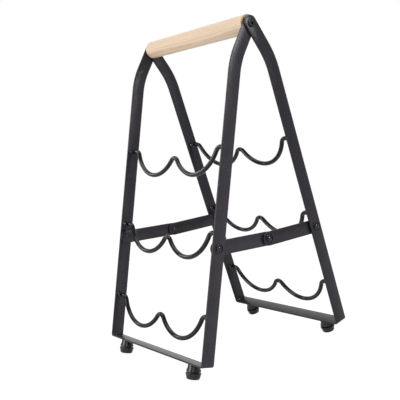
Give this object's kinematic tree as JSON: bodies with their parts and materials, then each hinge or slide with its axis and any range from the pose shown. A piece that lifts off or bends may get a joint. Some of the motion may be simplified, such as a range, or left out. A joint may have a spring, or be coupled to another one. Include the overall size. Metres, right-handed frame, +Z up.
{
  "type": "folding tabletop wine rack",
  "caption": "Folding tabletop wine rack with two bent metal frames hinged on a round wooden handle, waved wires that carry bottles, folding side braces and rubber feet.",
  "frame": {"origin": "middle of the rack at table height, under the handle", "axes": "+X along the handle towards the right-hand legs, +Y from the front frame to the rear frame, +Z up"},
  "size_m": [0.2194, 0.236, 0.4068],
  "materials": {
    "paint": "matte powder coat",
    "wire": "satin black coat",
    "fastener": "satin black",
    "rubber": "smooth moulded",
    "wood": "sanded and lacquered pale hardwood"
  },
  "bodies": {
    "front_frame_body": {"front_frame": "paint", "front_wire_upper": "wire", "front_wire_upper_rivet_right": "fastener", "front_wire_upper_rivet_left": "fastener", "front_wire_middle": "wire", "front_wire_middle_rivet_right": "fastener", "front_wire_middle_rivet_left": "fastener", "front_wire_lower": "wire", "front_wire_lower_rivet_right": "fastener", "front_wire_lower_rivet_left": "fastener", "front_leg_rivet_right": "fastener", "front_foot_right": "rubber", "front_leg_rivet_left": "fastener", "front_foot_left": "rubber"},
    "rear_frame_body": {"rear_frame": "paint", "rear_wire_upper": "wire", "rear_wire_upper_rivet_right": "fastener", "rear_wire_upper_rivet_left": "fastener", "rear_wire_middle": "wire", "rear_wire_middle_rivet_right": "fastener", "rear_wire_middle_rivet_left": "fastener", "rear_wire_lower": "wire", "rear_wire_lower_rivet_right": "fastener", "rear_wire_lower_rivet_left": "fastener", "rear_leg_rivet_right": "fastener", "rear_foot_right": "rubber", "rear_leg_rivet_left": "fastener", "rear_foot_left": "rubber"},
    "handle_body": {"handle": "wood", "screw_right": "fastener", "screw_left": "fastener"},
    "front_link_right_body": {"front_link_right": "paint", "front_link_pin_right": "fastener"},
    "front_link_left_body": {"front_link_left": "paint", "front_link_pin_left": "fastener"},
    "rear_link_right_body": {"rear_link_right": "paint", "rear_link_pin_right": "fastener"},
    "rear_link_left_body": {"rear_link_left": "paint", "rear_link_pin_left": "fastener"}
  },
  "joints": [
    {"name": "frame_fold", "type": "hinge", "parent": "front_frame_body", "child": "rear_frame_body", "pos_m": [0, 0, 0.39566], "axis": [1, 0, 0], "range_deg": [-25, 0]},
    {"name": "handle_turn", "type": "hinge", "parent": "front_frame_body", "child": "handle_body", "pos_m": [0, 0, 0.39566], "axis": [1, 0, 0], "range_deg": [-12.5, 0]},
    {"name": "front_link_right_fold", "type": "hinge", "parent": "front_frame_body", "child": "front_link_right_body", "pos_m": [0.09932, -0.07523, 0.14817], "axis": [1, 0, 0], "range_deg": [-85.58, 0]},
    {"name": "front_link_left_fold", "type": "hinge", "parent": "front_frame_body", "child": "front_link_left_body", "pos_m": [-0.10182, -0.07523, 0.14817], "axis": [1, 0, 0], "range_deg": [-85.58, 0]},
    {"name": "rear_link_right_fold", "type": "hinge", "parent": "rear_frame_body", "child": "rear_link_right_body", "pos_m": [0.10182, 0.07523, 0.14817], "axis": [1, 0, 0], "range_deg": [0, 85.58]},
    {"name": "rear_link_left_fold", "type": "hinge", "parent": "rear_frame_body", "child": "rear_link_left_body", "pos_m": [-0.09932, 0.07523, 0.14817], "axis": [1, 0, 0], "range_deg": [0, 85.58]}
  ],
  "couplings": [
    {"joint": "handle_turn", "follows": "frame_fold", "ratio": 0.5},
    {"joint": "front_link_right_fold", "follows": "frame_fold", "ratio": 3.4233},
    {"joint": "front_link_left_fold", "follows": "frame_fold", "ratio": 3.4233},
    {"joint": "rear_link_right_fold", "follows": "frame_fold", "ratio": -3.4233},
    {"joint": "rear_link_left_fold", "follows": "frame_fold", "ratio": -3.4233}
  ]
}
